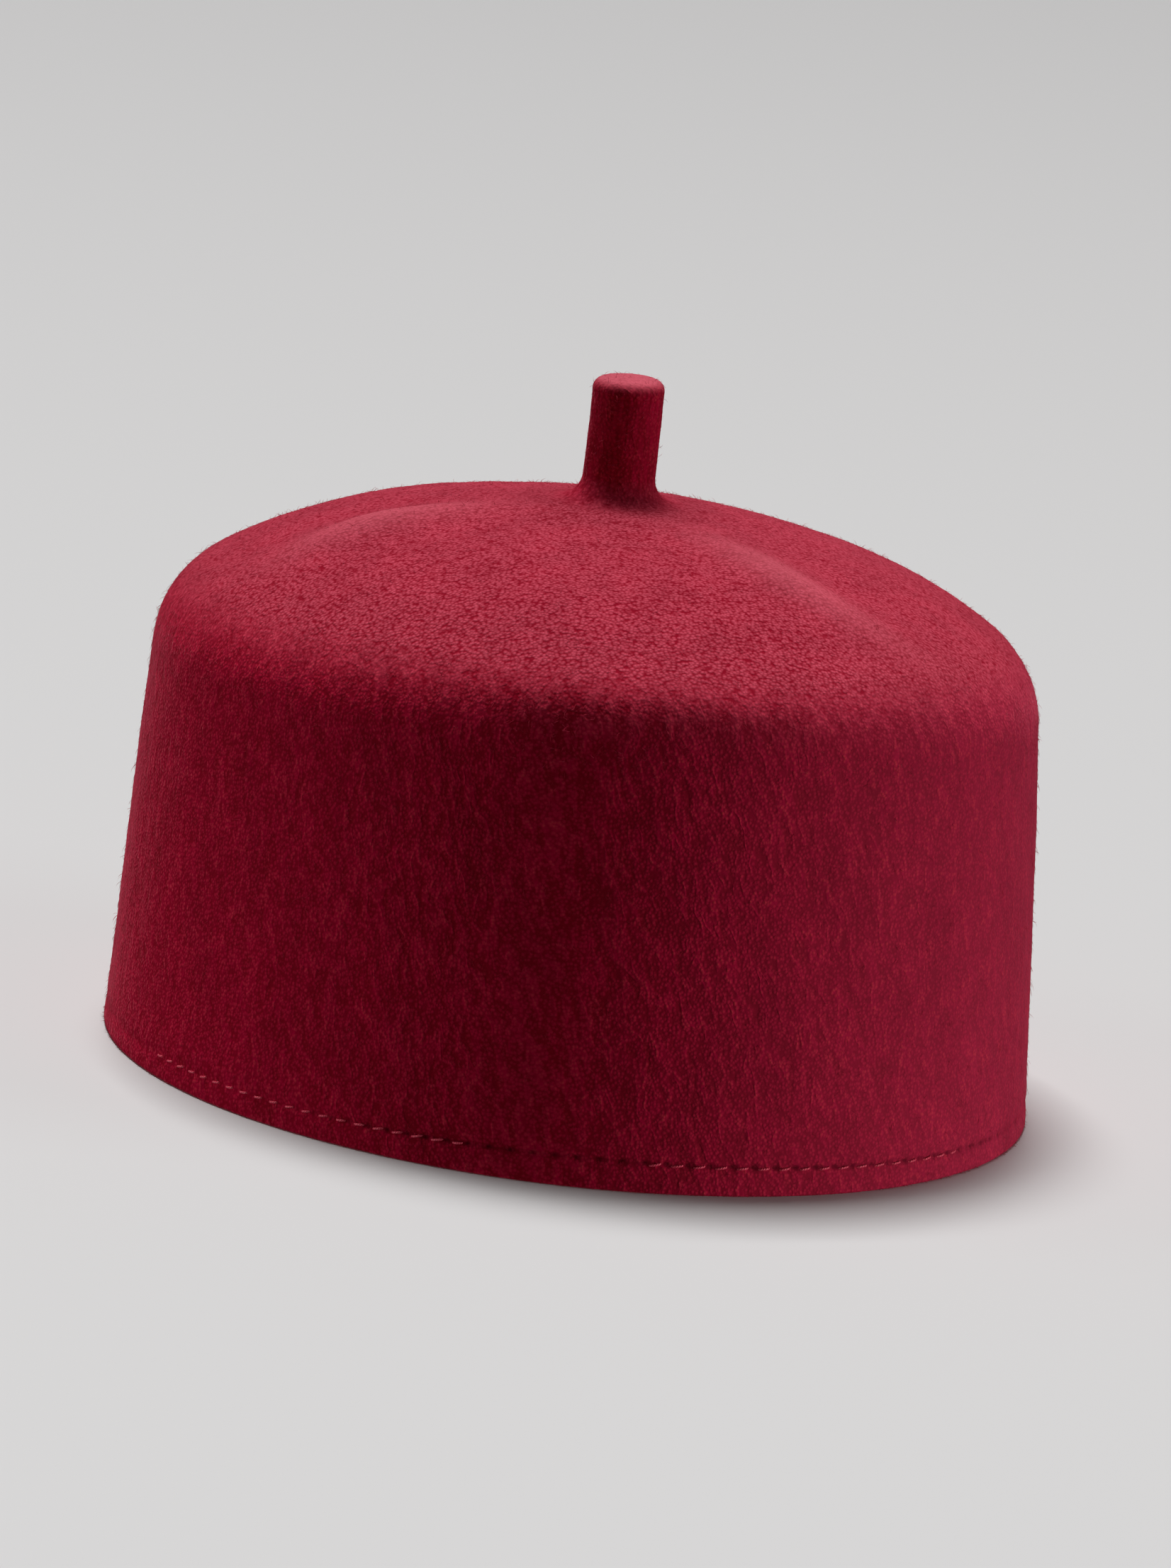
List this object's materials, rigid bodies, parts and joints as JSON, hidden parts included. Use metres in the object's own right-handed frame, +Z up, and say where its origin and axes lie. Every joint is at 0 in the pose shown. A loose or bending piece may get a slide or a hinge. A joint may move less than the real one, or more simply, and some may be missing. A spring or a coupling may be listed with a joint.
{
  "type": "igbo cap",
  "caption": "Oval moulded wool-felt cap with an upright wall, rounded shoulder, low domed crown and a felt stalk at its centre; worn on the head, rests on its hem.",
  "frame": {"origin": "centre of the oval hem, on the plane that the hem stands on", "axes": "+Z up through the stalk, -Y towards the brow, +Y towards the nape, X across the ears"},
  "size_m": [0.176, 0.2048, 0.1418],
  "materials": {
    "red_wool_felt": "thick red wool felt with a brushed, slightly fuzzy nap",
    "sewing_thread": "spun polyester sewing thread in a lighter red, on the hem stitches, which are in the visual model only"
  },
  "bodies": {
    "root": {"felt_cap": "red_wool_felt"}
  },
  "joints": []
}
